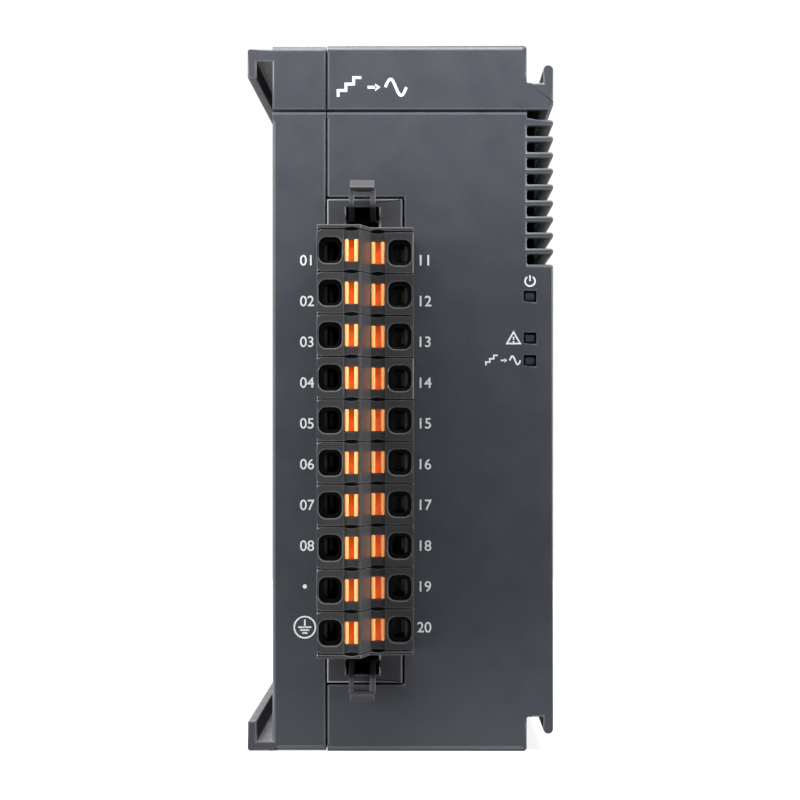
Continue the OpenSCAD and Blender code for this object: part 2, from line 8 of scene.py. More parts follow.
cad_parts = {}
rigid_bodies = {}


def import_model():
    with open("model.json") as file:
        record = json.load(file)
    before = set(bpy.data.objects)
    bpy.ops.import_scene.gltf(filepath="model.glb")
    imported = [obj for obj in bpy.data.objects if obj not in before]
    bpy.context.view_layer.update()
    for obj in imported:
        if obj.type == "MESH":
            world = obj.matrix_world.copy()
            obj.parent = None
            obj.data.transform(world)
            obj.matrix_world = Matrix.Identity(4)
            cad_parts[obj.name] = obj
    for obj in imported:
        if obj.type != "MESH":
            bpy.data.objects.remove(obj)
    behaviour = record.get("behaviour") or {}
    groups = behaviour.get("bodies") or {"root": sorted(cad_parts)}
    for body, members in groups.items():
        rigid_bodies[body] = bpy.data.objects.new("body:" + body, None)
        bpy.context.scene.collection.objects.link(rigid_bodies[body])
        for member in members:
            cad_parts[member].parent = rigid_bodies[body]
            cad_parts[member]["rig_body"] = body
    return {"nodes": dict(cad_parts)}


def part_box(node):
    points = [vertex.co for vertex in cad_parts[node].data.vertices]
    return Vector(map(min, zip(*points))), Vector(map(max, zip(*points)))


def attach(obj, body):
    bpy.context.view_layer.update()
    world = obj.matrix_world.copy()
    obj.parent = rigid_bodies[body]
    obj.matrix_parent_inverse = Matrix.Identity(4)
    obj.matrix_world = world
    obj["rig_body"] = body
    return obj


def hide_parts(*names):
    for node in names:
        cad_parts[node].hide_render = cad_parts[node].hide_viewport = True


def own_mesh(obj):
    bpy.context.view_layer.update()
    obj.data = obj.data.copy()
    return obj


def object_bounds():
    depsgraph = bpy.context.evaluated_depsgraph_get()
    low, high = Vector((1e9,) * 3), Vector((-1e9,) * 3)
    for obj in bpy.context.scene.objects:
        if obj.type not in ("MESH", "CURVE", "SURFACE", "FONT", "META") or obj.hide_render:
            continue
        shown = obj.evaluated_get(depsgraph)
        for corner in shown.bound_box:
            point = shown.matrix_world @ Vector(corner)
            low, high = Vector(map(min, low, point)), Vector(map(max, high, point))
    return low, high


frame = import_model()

CAD_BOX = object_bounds()
MM = 0.001
NODES = frame["nodes"]
ROWS = 10
SIDES = ("l", "r")
LAMPS = ("power", "error", "ready")
CLOSE = 0.01 * MM           # how far apart two places may be and still count as the same

# ---- Places, worked out from the frame, some with sizes given in mm ----

FRONT_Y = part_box("left_housing")[0].y
FLOOR_Z = CAD_BOX[0].z
LEFT_SIDE = -CAD_BOX[1].x
PLUG_LOW, PLUG_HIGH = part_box("plug_body")
PLUG_MIDDLE, PLUG_REACH = (PLUG_LOW.z + PLUG_HIGH.z) / 2, (PLUG_HIGH.z - PLUG_LOW.z) / 2
ENTRY_HALF = (1.4 * MM, 1.55 * MM)
ENTRY_X = {"l": PLUG_LOW.x + 1.63 * MM, "r": PLUG_HIGH.x - 1.68 * MM}


def middle(node):
    """The middle of a CAD node's box."""
    low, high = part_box(node)
    return (low + high) / 2


BUTTON_Z = [middle(f"button_l{k:02d}").z for k in range(1, ROWS + 1)]


# ---- Materials ----

class Surface:
    """A material's node tree, and the steps that the recipes below share."""

    def __init__(self, name):
        self.material = bpy.data.materials.new(name)
        self.material.use_nodes = True
        self.tree = self.material.node_tree
        self.tree.nodes.clear()
        self.shader = self.node("BsdfPrincipled")
        self.node("OutputMaterial", {"Surface": self.shader.outputs[0]})
        self.place = self.node("TexCoord").outputs["Object"]

    def node(self, kind, inputs=None, **settings):
        made = self.tree.nodes.new("ShaderNode" + kind)
        for key, value in settings.items():
            setattr(made, key, value)
        for key, value in (inputs or {}).items():
            if isinstance(value, bpy.types.NodeSocket):
                self.tree.links.new(value, made.inputs[key])
            else:
                made.inputs[key].default_value = value
        return made

    def set(self, **values):
        """Sets sockets of the shader: Base_Color is "Base Color"."""
        for key, value in values.items():
            socket = self.shader.inputs[key.replace("_", " ")]
            if isinstance(value, bpy.types.NodeSocket):
                self.tree.links.new(value, socket)
            else:
                socket.default_value = value

    def noise(self, size, detail=2.0, stretch=(1, 1, 1)):
        """Noise whose features are about size metres across."""
        place = self.node("Mapping", {"Vector": self.place, "Scale": stretch}).outputs[0]
        return self.node("TexNoise", {"Vector": place, "Scale": 1 / size, "Detail": detail}).outputs[0]

    def spread(self, value, low, high, source=(0.3, 0.7)):
        """value, which runs over source, spread over low to high."""
        return self.node("MapRange", {"Value": value, "From Min": source[0], "From Max": source[1],
                                      "To Min": low, "To Max": high}).outputs[0]

    def mix(self, amount, first, second):
        return self.node("Mix", {0: amount, 6: first, 7: second}, data_type="RGBA").outputs[2]

    def math(self, operation, first, second):
        return self.node("Math", {0: first, 1: second}, operation=operation).outputs[0]

    def edges(self, radius):
        """1 along the edges, within about radius metres, and 0 on flat faces."""
        rounded = self.node("Bevel", {"Radius": radius}, samples=4).outputs[0]
        flat = self.node("NewGeometry").outputs["Normal"]
        same = self.node("VectorMath", {0: rounded, 1: flat}, operation="DOT_PRODUCT").outputs["Value"]
        return self.spread(same, 1, 0, (0.86, 0.99))

    def openness(self, reach):
        """0 deep in holes and gaps narrower than about reach metres, and 1 in the open."""
        seen = self.node("AmbientOcclusion", {"Distance": reach}, samples=6).outputs["AO"]
        return self.spread(seen, 0, 1, (0.2, 0.62))

    def bumps(self, *layers):
        """Chains (height, distance in metres) pairs into one normal."""
        normal = None
        for height, distance in layers:
            inputs = {"Height": height, "Distance": distance, "Strength": 1.0}
            if normal is not None:
                inputs["Normal"] = normal
            normal = self.node("Bump", inputs).outputs[0]
        self.set(Normal=normal)


def shade(colour, factor):
    return tuple(min(1.0, c * factor) for c in colour[:3]) + (1.0,)


def moulded(name, colour, grain=0.16 * MM, depth=0.006 * MM, rough=0.5, edge_highlight_strength=0.8, reach=3 * MM, sunk=1.0,
            housed=None, **extra):
    """Injection-moulded plastic: a fine sparked grain, faint cloudiness, and smoother edges painted paler as
    a highlight.
    Painted shade scales the colour by sunk in gaps narrower than about reach. housed is (middle, near,
    far): painted shade, as dark as in a gap, where the part's height lies within near of middle, and none
    beyond far."""
    s = Surface(name)
    clouds = s.noise(14 * MM, 3)
    specks = s.noise(0.35 * MM, 3)
    tone = s.mix(s.spread(clouds, 0, 1), shade(colour, 0.95), shade(colour, 1.05))
    tone = s.mix(s.spread(specks, 0, 0.5), tone, shade(colour, 1.12))
    # Painted highlight: edges are painted up to six times paler, in patches, to stand in for light caught by
    # the rounded edges; the same mask makes them less rough.
    edge_highlight_mask = s.math("MULTIPLY", s.edges(0.22 * MM), s.spread(s.noise(2.5 * MM, 4), 0.2, 1.0))
    painted_edge_highlight = s.math("MULTIPLY", edge_highlight_mask, edge_highlight_strength)
    tone = s.mix(painted_edge_highlight, tone, shade(colour, 6.0))
    # Painted shade: narrow gaps and holes are coloured darker, where shade falls.
    if sunk < 1:
        tone = s.mix(s.openness(reach), shade(colour, sunk), tone)
    # Painted shade: near the given middle height the colour is darkened as much as in a gap; on the latches
    # that is the arms inside the header's holes.
    if housed:
        height = s.math("SUBTRACT", s.node("SeparateXYZ", {0: s.place}).outputs["Z"], housed[0])
        out = s.spread(s.math("ABSOLUTE", height, 0), 0, 1, housed[1:])
        tone = s.mix(out, shade(colour, sunk), tone)
    s.set(Base_Color=tone)
    duller = s.spread(s.noise(3 * MM, 4), rough - 0.05, rough + 0.05)
    s.set(Roughness=s.math("SUBTRACT", duller, s.math("MULTIPLY", edge_highlight_mask, 0.14)))
    s.bumps((s.noise(9 * MM, 2), 0.01 * MM), (s.noise(grain, 3), depth))
    s.set(**extra)
    return s.material


def polished(name, colour, rough=0.28, tip=None, painted_glow=0.0, **extra):
    """Smooth moulded plastic with faint flow lines, small scuffs and edges painted a little paler as a
    highlight; tip is the paler colour painted on the front of a button as its highlight, and glow is the
    strength of painted light that front gives off."""
    s = Surface(name)
    flow = s.noise(1.2 * MM, 3, (1, 1, 0.3))
    tone = s.mix(s.spread(flow, 0, 1), shade(colour, 0.92), shade(colour, 1.08))
    # Painted highlight: the front of a button takes the paler tip colour and gives off faint painted light,
    # though it is no lamp, to stand in for light caught by its ribs.
    if tip:
        depth = s.node("SeparateXYZ", {0: s.node("TexCoord").outputs["Generated"]}).outputs["Y"]
        tone = s.mix(s.spread(depth, 0.85, 0, (0.015, 0.075)), tone, (*tip, 1))
        s.set(Emission_Color=shade(colour, 1.16), Emission_Strength=s.spread(depth, painted_glow, 0, (0.26, 0.4)))
    # Painted highlight: the edges are painted a little paler.
    edge_highlight_mask = s.edges(0.1 * MM)
    s.set(Base_Color=s.mix(s.math("MULTIPLY", edge_highlight_mask, 0.2), tone, shade(colour, 1.35)))
    s.set(Roughness=s.spread(s.noise(0.8 * MM, 4), rough - 0.06, rough + 0.08))
    s.bumps((s.noise(0.5 * MM, 3), 0.004 * MM))
    s.set(**extra)
    return s.material


def metal(name, colour, rough, along=(1, 1, 1)):
    """Stamped and plated metal, with rolling marks and slight tarnish."""
    s = Surface(name)
    rolled = s.noise(0.12 * MM, 3, along)
    stain = s.noise(2 * MM, 4)
    s.set(Base_Color=s.mix(s.spread(stain, 0, 0.6), (*colour, 1), shade(colour, 0.62)), Metallic=1.0)
    s.set(Roughness=s.spread(s.noise(0.9 * MM, 4), rough - 0.08, rough + 0.12))
    s.bumps((rolled, 0.003 * MM), (s.noise(1.5 * MM, 2), 0.01 * MM))
    return s.material


def board_green():
    """Solder mask over woven glass, with copper tracks showing through as paler lines."""
    s = Surface("board_green")
    place = s.node("SeparateXYZ", {0: s.place}).outputs
    flat = s.node("CombineXYZ", {0: place["Y"], 1: place["Z"]}).outputs[0]
    line = s.node("TexBrick", {"Vector": flat, "Scale": 1.0, "Mortar Size": 0.12 * MM, "Mortar Smooth": 0.2,
                               "Brick Width": 5.2 * MM, "Row Height": 1.3 * MM}).outputs["Fac"]
    base = s.mix(s.spread(s.noise(4 * MM, 3), 0, 1), (0.008, 0.065, 0.030, 1), (0.011, 0.088, 0.040, 1))
    s.set(Base_Color=s.mix(s.math("MULTIPLY", line, 0.7), base, (0.045, 0.23, 0.10, 1)))
    s.set(Roughness=s.spread(s.noise(1.0 * MM, 3), 0.24, 0.4), Coat_Weight=0.3)
    weave = s.node("TexWave", {"Vector": s.place, "Scale": 1 / (6 * MM), "Distortion": 0.6}).outputs[0]
    s.bumps((weave, 0.004 * MM), (line, 0.02 * MM))
    return s.material


def label_film():
    """Satin polyester label film."""
    s = Surface("label_film")
    clouds = s.spread(s.noise(6 * MM, 4), 0, 1)
    s.set(Base_Color=s.mix(clouds, (0.26, 0.262, 0.265, 1), (0.29, 0.292, 0.295, 1)))
    s.set(Roughness=s.spread(s.noise(1.2 * MM, 4), 0.32, 0.46))
    s.bumps((s.noise(0.2 * MM, 3), 0.002 * MM), (s.noise(5 * MM, 2), 0.015 * MM))
    return s.material


def ink(name, colour):
    """Pad-printed ink, a little patchy."""
    s = Surface(name)
    patchy = s.noise(0.25 * MM, 4)
    s.set(Base_Color=s.mix(s.spread(patchy, 0, 1), shade(colour, 0.86), (*colour, 1)))
    s.set(Roughness=s.spread(s.noise(0.6 * MM, 3), 0.42, 0.6))
    s.bumps((s.noise(0.1 * MM, 3), 0.002 * MM))
    return s.material


def lens_plastic():
    """Smoky translucent plastic of the light pipes."""
    s = Surface("lens_plastic")
    clouds = s.spread(s.noise(0.7 * MM, 3), 0, 1)
    s.set(Base_Color=s.mix(clouds, (0.03, 0.031, 0.035, 1), (0.05, 0.052, 0.057, 1)))
    s.set(Roughness=s.spread(s.noise(0.4 * MM, 3), 0.3, 0.42), Transmission_Weight=0.35, IOR=1.49)
    s.bumps((s.noise(0.3 * MM, 2), 0.004 * MM))
    return s.material


HOUSING = (0.0255, 0.0285, 0.0365)
BLOCK = (0.021, 0.021, 0.0225)
HEADER = (0.022, 0.0228, 0.0255)
LATCH = (0.050, 0.050, 0.055)
CLIP = (0.09, 0.092, 0.098)
# The latches' painted shade: their gaps and the arms inside the header's holes are coloured dark, and their
# specular level is low.
LATCH_SHADE = {"reach": 6 * MM, "sunk": 0.1, "Specular_IOR_Level": 0.2,
               "housed": (PLUG_MIDDLE, PLUG_REACH + 3.0 * MM, PLUG_REACH + 3.8 * MM)}
MATERIALS = {
    "housing": moulded("housing_plastic", HOUSING, grain=0.3 * MM, depth=0.014 * MM),
    "header": moulded("header_plastic", HEADER, rough=0.46),
    "plug": moulded("plug_plastic", BLOCK, grain=0.12 * MM, depth=0.004 * MM, rough=0.42, sunk=0.8),
    "latch": moulded("latch_plastic", LATCH, grain=0.1 * MM, depth=0.003 * MM, rough=0.6, **LATCH_SHADE),
    "button": polished("button_orange", (0.86, 0.15, 0.024), tip=(0.96, 0.58, 0.22), painted_glow=0.2,
                       Subsurface_Weight=0.12, Subsurface_Radius=(1.0, 0.35, 0.1), Subsurface_Scale=0.3 * MM),
    "lens": lens_plastic(),
    "led": polished("led_white", (0.72, 0.70, 0.60), rough=0.35),
    "board": board_green(),
    "chip": moulded("chip_epoxy", (0.018, 0.018, 0.019), grain=0.08 * MM, depth=0.003 * MM, rough=0.55),
    "can": metal("capacitor_can", (0.70, 0.71, 0.72), 0.32, (0.1, 1, 1)),
    "contact_metal": metal("gilded_contact", (0.50, 0.39, 0.17), 0.34, (1, 0.1, 1)),
    # Painted shade: the wire contacts' tin is painted darker than plain tin, as they lie in shade deep in the
    # wire entries.
    "shaded_wire_contact": metal("tin_darkened_as_shade", (0.34, 0.33, 0.31), 0.42, (1, 0.1, 1)),
    "spring_steel": metal("spring_steel", (0.62, 0.62, 0.62), 0.28, (1, 0.15, 1)),
    "label": label_film(),
    "clip": moulded("clip_plastic", CLIP, rough=0.45),
}
# Materials of the roundings: painted highlights, 1.4 to 3.6 times paler than the faces beside them, stand in
# for light caught by the rounded edges; the lens rim is painted dark as painted shade.
ROUNDINGS_PAINTED_LIGHT_AND_SHADE = {
    "housing": moulded("housing_edge_highlight", (0.072, 0.074, 0.080), rough=0.4, edge_highlight_strength=0),
    "header": moulded("header_edge_highlight", shade(HEADER, 3.6), rough=0.36, edge_highlight_strength=0),
    "plug": moulded("plug_edge_highlight", shade(BLOCK, 3.2), rough=0.34, edge_highlight_strength=0),
    "latch": moulded("latch_edge_highlight", shade(LATCH, 1.4), rough=0.4, edge_highlight_strength=0, **LATCH_SHADE),
    "clip": moulded("clip_edge_highlight", shade(CLIP, 1.5), rough=0.36, edge_highlight_strength=0),
    # Painted shade: the lamps' lens rims are painted nearly black.
    "lens": moulded("lens_rim_shade", (0.008, 0.008, 0.009), rough=0.5, edge_highlight_strength=0),
}
WHITE_INK = ink("white_ink", (0.60, 0.61, 0.62))
GREY_INK = ink("grey_ink", (0.07, 0.07, 0.075))


def dress(piece, slot):
    """Gives a piece or CAD node the material of a slot."""
    piece.data.materials.clear()
    piece.data.materials.append(MATERIALS[slot])


# ---- Geometry that the pieces share ----

SHARP = math.radians(35)    # edges that bend more than this are rounded
ACUTE = math.radians(30)    # corners narrower than this leave a rounding no room
FLAT = math.radians(0.5)
WHOLE = math.radians(1)     # faces that differ by less than this become one
SAME = 1e-7                 # metres within which vertices are one
ROOM = 2.1                  # width that a rounding needs beside it, in roundings


def end_has_room(edge, vert, width):
    """Whether an edge can be rounded by width at one end before it meets a neighbour's rounding."""
    along = edge.other_vert(vert).co - vert.co
    for other in vert.link_edges:
        if other is edge or not set(other.link_faces) & set(edge.link_faces):
            continue
        corner = along.angle(other.other_vert(vert).co - vert.co)
        across = math.sin(corner)
        if corner < ACUTE or across > 0.5 and other.calc_length() * across < ROOM * width:
            return False
    return True


def shorten_cuts(bm, axis, level):
    """Divides the outer face at a level of an axis into triangles and joins them again across the
    longest cuts first, so that the cuts left beside its holes are short and run beside no long edge."""
    panel = [face for face in bm.faces if all(abs(v.co[axis] - level) < CLOSE for v in face.verts)]
    panel = set(bmesh.ops.triangulate(bm, faces=panel, ngon_method="BEAUTY")["faces"])
    flats = [edge for edge in bm.edges if len(edge.link_faces) == 2 and panel.issuperset(edge.link_faces)]
    for edge in sorted(flats, key=lambda one: -one.calc_length()):
        first, second = edge.link_faces
        if sum(1 for one in first.edges if one in second.edges) == 1:
            bmesh.utils.face_join((first, second))


def flat_region(face):
    """A face and the faces that lie in one plane with it, joined by flat edges."""
    region, queue = {face}, [face]
    while queue:
        for edge in queue.pop().edges:
            if len(edge.link_faces) == 2 and edge.calc_face_angle() < FLAT:
                fresh = set(edge.link_faces) - region
                region |= fresh
                queue += fresh
    return region


def sides_have_room(edge, start, end, width):
    """Whether both faces reach further than a rounding needs, all along a stretch of their edge."""
    for face in edge.link_faces:
        loop = next(one for one in face.loops if one.edge == edge)
        inward = face.normal.cross(loop.link_loop_next.vert.co - loop.vert.co).normalized()
        region = flat_region(face)
        count = max(2, min(40, int((end - start).length / (2 * width))))
        for i in range(count + 1):
            place = start.lerp(end, i / count)
            for reach in (width, ROOM * width):
                probe = place + reach * inward
                if not any(bmesh.geometry.intersect_face_point(one, probe) for one in region):
                    return False
    return True


def round_stretch(bm, edge, width, may_trim):
    """The part of an edge that can be rounded by width: all of it, or all but ends that meet a small
    feature and are split off, or None."""
    a, b = edge.verts
    trims = [0 if end_has_room(edge, vert, width) else 2.4 * width for vert in (a, b)]
    length = edge.calc_length()
    if not any(trims):
        return edge
    if not may_trim or length < sum(trims) + 3 * width or max(a.co.y, b.co.y) > FRONT_Y + 0.5 * MM:
        return None
    along = (b.co - a.co).normalized()
    start, end = a.co + along * max(trims[0], 0.1 * width), b.co - along * max(trims[1], 0.1 * width)
    if not sides_have_room(edge, start, end, width):
        return None
    for vert, trim in ((a, trims[0]), (b, trims[1])):
        if trim:
            fresh = bmesh.utils.edge_split(edge, vert, trim / edge.calc_length())[1]
            edge = next(one for one in fresh.link_edges if vert not in one.verts)
    return edge


def refine(node, slot, width, width_of=None, segments=2, may_trim=False):
    """Stands for a CAD node with the same shape, its sharp edges rounded by width metres, or by
    width_of(edge) where that is given. An edge without room for its rounding stays sharp, or is
    rounded over a part of its length if may_trim is set."""
    source = NODES[node]
    bm = bmesh.new()
    bm.from_mesh(source.data)
    bmesh.ops.remove_doubles(bm, verts=bm.verts, dist=SAME)
    bmesh.ops.dissolve_limit(bm, angle_limit=WHOLE, verts=bm.verts, edges=bm.edges)
    if may_trim:
        for axis, level in ((1, FRONT_Y), (0, CAD_BOX[1].x), (0, LEFT_SIDE)):
            shorten_cuts(bm, axis, level)
    weight = bm.edges.layers.float.new("bevel_weight_edge")
    for edge in [one for one in bm.edges if one.calc_face_angle(0) > SHARP]:
        wanted = width if width_of is None else width_of(edge)
        rounded = round_stretch(bm, edge, wanted, may_trim) if wanted else None
        if rounded:
            rounded[weight] = wanted / width
    mesh = bpy.data.meshes.new(node + "_skin")
    bm.to_mesh(mesh)
    bm.free()
    piece = bpy.data.objects.new(node + "_skin", mesh)
    bpy.context.scene.collection.objects.link(piece)
    rounding = piece.modifiers.new("rounding", "BEVEL")
    rounding.limit_method = "WEIGHT"
    rounding.width = width
    rounding.segments = segments
    rounding.use_clamp_overlap = False
    dress(piece, slot)
    # The roundings take the slot's painted-highlight or painted-shade material, where it has one.
    if slot in ROUNDINGS_PAINTED_LIGHT_AND_SHADE:
        piece.data.materials.append(ROUNDINGS_PAINTED_LIGHT_AND_SHADE[slot])
        rounding.material = 1
    even_shading(piece)
    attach(piece, source["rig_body"])
    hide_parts(node)
    return piece


def even_shading(piece):
    """Makes the rounding part of the mesh, then shades it smoothly with flat faces left flat."""
    rounded = piece.evaluated_get(bpy.context.evaluated_depsgraph_get())
    bm = bmesh.new()
    bm.from_mesh(rounded.to_mesh())
    rounded.to_mesh_clear()
    piece.modifiers.clear()
    for edge in bm.edges:
        edge.smooth = edge.calc_face_angle(0) < SHARP
    for face in bm.faces:
        face.smooth = True
    bm.to_mesh(piece.data)
    bm.free()
    even = piece.modifiers.new("even_shading", "WEIGHTED_NORMAL")
    even.weight = 100
    even.keep_sharp = True


def soften(node, slot, width):
    """Keeps a CAD node, rounds its edges with modifiers and gives it its material."""
    piece = NODES[node]
    weld = piece.modifiers.new("weld", "WELD")
    weld.merge_threshold = SAME
    flat = piece.modifiers.new("whole_faces", "DECIMATE")
    flat.decimate_type = "DISSOLVE"
    flat.angle_limit = WHOLE
    rounding = piece.modifiers.new("rounding", "BEVEL")
    rounding.width = width
    rounding.segments = 2
    rounding.angle_limit = SHARP
    dress(piece, slot)


def piece_of(name, bm, body, slot, material=None):
    """Makes a piece of a bmesh, riding on a body."""
    bmesh.ops.recalc_face_normals(bm, faces=bm.faces)
    mesh = bpy.data.meshes.new(name)
    bm.to_mesh(mesh)
    bm.free()
    piece = bpy.data.objects.new(name, mesh)
    bpy.context.scene.collection.objects.link(piece)
    mesh.materials.append(material or MATERIALS[slot])
    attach(piece, body)
    return piece


# ---- Printed marks ----

INK_OVER = 0.02 * MM
INK_UNDER = 0.01 * MM


def raise_ink(bm, faces, outward):
    """Turns flat faces that lie on a surface into a thin closed layer of ink."""
    moved = bmesh.ops.extrude_face_region(bm, geom=faces)["geom"]
    fresh = [v for v in moved if isinstance(v, bmesh.types.BMVert)]
    bmesh.ops.translate(bm, verts=fresh, vec=outward * (INK_OVER + INK_UNDER))


def ribbon(bm, points, width, closed=False):
    """Adds flat faces along a line of (x, z) points on the front panel, with mitred corners."""
    points = [Vector(p) for p in points]
    count = len(points)
    rims = []
    for i, point in enumerate(points):
        back = point - points[i - 1] if i or closed else points[1] - point
        ahead = points[(i + 1) % count] - point if i < count - 1 or closed else back
        a, b = back.normalized(), ahead.normalized()
        side = Vector((-a.y - b.y, a.x + b.x)) / (1 + a.dot(b)) * width / 2
        rims.append([bm.verts.new((q.x, FRONT_Y + INK_UNDER, q.y)) for q in (point + side, point - side)])
    pairs = zip(rims, rims[1:] + rims[:1]) if closed else zip(rims, rims[1:])
    return [bm.faces.new((a[0], b[0], b[1], a[1])) for a, b in pairs]


def patch(bm, points):
    """Adds one flat face with (x, z) corners on the front panel."""
    return [bm.faces.new([bm.verts.new((x, FRONT_Y + INK_UNDER, z)) for x, z in points])]


def ring(centre, radius, start=0.0, end=360.0, steps=40):
    """Points along an arc, anticlockwise from start to end in degrees."""
    full = end - start == 360
    angles = [math.radians(start + (end - start) * i / steps) for i in range(steps if full else steps + 1)]
    return [(centre[0] + radius * math.cos(a), centre[1] + radius * math.sin(a)) for a in angles]


def number(text, left, middle_z, height, anchor="LEFT"):
    """A mesh of digits on the front panel, beginning or ending at x = left."""
    curve = bpy.data.curves.new("digits", "FONT")
    curve.body = text
    curve.align_x = anchor
    curve.offset = 0.008
    writer = bpy.data.objects.new("digits", curve)
    mesh = bpy.data.meshes.new_from_object(writer)
    tall = max(v.co.y for v in mesh.vertices)
    low = min(v.co.y for v in mesh.vertices)
    size = height / (tall - low)
    turn = Matrix.Rotation(math.radians(90), 4, "X")
    place = Matrix.Translation((left, FRONT_Y + INK_UNDER, middle_z - height / 2 - low * size))
    mesh.transform(place @ turn @ Matrix.Scale(size, 4))
    bpy.data.objects.remove(writer)
    return mesh


def stair_to_wave(bm, left, base, width, height, stroke):
    """A stepped line, an arrow and a smooth wave: levels turned into a continuous signal."""
    step = width * 0.34 / 3
    rise = height / 3
    stair = [(left, base)]
    for k in range(3):
        stair += [(left + step * k, base + rise * (k + 1)), (left + step * (k + 1), base + rise * (k + 1))]
    faces = ribbon(bm, stair, stroke)
    mid = base + height / 2
    tail, tip = left + width * 0.43, left + width * 0.62
    faces += ribbon(bm, [(tail, mid), (tip - 1.4 * stroke, mid)], stroke)
    barb, spread = tip - 1.8 * stroke, 1.3 * stroke
    faces += patch(bm, [(tip, mid), (barb, mid + spread), (barb, mid - spread)])
    start, span, swing = left + width * 0.69, width * 0.31, (height - stroke) / 2
    wave = [(start + span * t / 20, mid + swing * math.sin(2 * math.pi * t / 20)) for t in range(21)]
    return faces + ribbon(bm, wave, stroke)


def power_sign(bm, centre, radius, stroke):
    faces = ribbon(bm, ring(centre, radius, 125, 415), stroke)
    x, z = centre
    return faces + ribbon(bm, [(x, z), (x, z + radius * 1.15)], stroke)


def fault_sign(bm, centre, radius, stroke):
    """A triangle with a bar and a dot."""
    faces = ribbon(bm, ring(centre, radius, 90, 450, 3), stroke, closed=True)
    x, z = centre
    faces += ribbon(bm, [(x, z + radius * 0.42), (x, z - radius * 0.02)], stroke)
    return faces + patch(bm, ring((x, z - radius * 0.26), stroke * 0.6, steps=10))


def earth_sign(bm, centre, radius, stroke):
    """Protective earth: a stem and three bars in a circle."""
    x, z = centre
    faces = ribbon(bm, ring(centre, radius), stroke, closed=True)
    faces += ribbon(bm, [(x, z + radius * 0.74), (x, z)], stroke)
    for k in range(3):
        half = radius * (0.62 - 0.19 * k)
        level = z - radius * 0.27 * k
        faces += ribbon(bm, [(x - half, level), (x + half, level)], stroke)
    return faces


def front_marks():
    """White printing on the front: terminal numbers, the function and the lamps."""
    bm = bmesh.new()
    text_height = 1.32 * MM
    stroke = 0.2 * MM
    left_end, right_start = PLUG_LOW.x - 0.85 * MM, PLUG_HIGH.x + 0.35 * MM
    drop = 0.36 * MM
    for k, z in enumerate(BUTTON_Z):
        if k < 8:
            bm.from_mesh(number(f"{k + 1:02d}", left_end, z - drop, text_height, "RIGHT"))
        bm.from_mesh(number(str(k + 11), right_start, z - drop, text_height))
    faces = list(bm.faces)
    dot = (left_end - 1.2 * MM, BUTTON_Z[8] - drop)
    faces += patch(bm, ring(dot, 0.27 * MM, steps=16))
    faces += earth_sign(bm, (left_end - 1.2 * MM, BUTTON_Z[9] - drop), 1.32 * MM, stroke)
    faces += stair_to_wave(bm, -9.3 * MM, 37.55 * MM, 8.5 * MM, 2.4 * MM, 0.36 * MM)
    lamps = {name: middle("light_pipe_" + name) for name in LAMPS}
    faces += power_sign(bm, (lamps["power"].x, lamps["power"].z + 1.9 * MM), 0.62 * MM, stroke)
    faces += fault_sign(bm, (lamps["error"].x - 2.05 * MM, lamps["error"].z - 0.2 * MM), 0.95 * MM, stroke)
    faces += stair_to_wave(bm, lamps["ready"].x - 5.5 * MM, lamps["ready"].z - 0.6 * MM, 4.3 * MM, 1.25 * MM,
                           stroke)
    raise_ink(bm, faces, Vector((0, -1, 0)))
    for face in bm.faces:
        face.smooth = False
    piece_of("front_marks", bm, "housing", "label", WHITE_INK)


def label_marks():
    """Plain ruled frames and bars printed on the side label, with no lettering."""
    low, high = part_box("rating_label")
    bm = bmesh.new()
    inset, pen = 1.2 * MM, 0.16 * MM
    y0, y1, z0, z1 = low.y + inset, high.y - inset, low.z + inset, high.z - inset
    split = y0 + 0.34 * (y1 - y0)
    bars = [(y0, y1, z0, z0 + pen), (y0, y1, z1 - pen, z1), (y0, y0 + pen, z0, z1), (y1 - pen, y1, z0, z1),
            (split, split + pen, z0, z1), (split, y1, z1 - 5 * MM, z1 - 5 * MM + pen)]
    for k in range(6):
        level = z1 - (7.2 + 1.9 * k) * MM
        reach = (0.8, 0.62, 0.7, 0.5, 0.66, 0.4)[k]
        bars.append((split + 1.4 * MM, split + 1.4 * MM + reach * (y1 - split), level, level + 0.55 * MM))
    faces = []
    for a, b, c, d in bars:
        corners = ((a, c), (b, c), (b, d), (a, d))
        faces.append(bm.faces.new([bm.verts.new((high.x - INK_UNDER, y, z)) for y, z in corners]))
    raise_ink(bm, faces, Vector((1, 0, 0)))
    piece_of("label_marks", bm, "housing", "label", GREY_INK)


# ---- Plug, buttons, housing and the other pieces ----

def near_front(width, back):
    """Rounds only the edges in front of y = back, and leaves the small hidden ones behind it."""
    def width_of(edge):
        return width if max(v.co.y for v in edge.verts) < back else 0.0
    return width_of


TIERS_Y = (PLUG_LOW.y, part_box("button_r01")[0].y - 0.15 * MM)
ENTRY_RIM, PLUG_EDGE, BASE_ROUND, BUTTON_ROUND = 0.15 * MM, 0.12 * MM, 0.15 * MM, 0.09 * MM


def outside_plug(face):
    """Whether a face lies on one of the plug's outer faces. The right tier's front counts only right of
    the middle, because a ledge inside the left entries lies at the same depth."""
    if face.normal.x > 0.9 and face.normal.y < -0.1:
        return True
    planes = [(0, PLUG_LOW.x), (0, PLUG_HIGH.x), (2, PLUG_LOW.z), (2, PLUG_HIGH.z), (1, TIERS_Y[0])]
    if min(v.co.x for v in face.verts) > (PLUG_LOW.x + PLUG_HIGH.x) / 2:
        planes.append((1, TIERS_Y[1]))
    return any(all(abs(v.co[axis] - level) < CLOSE for v in face.verts) for axis, level in planes)


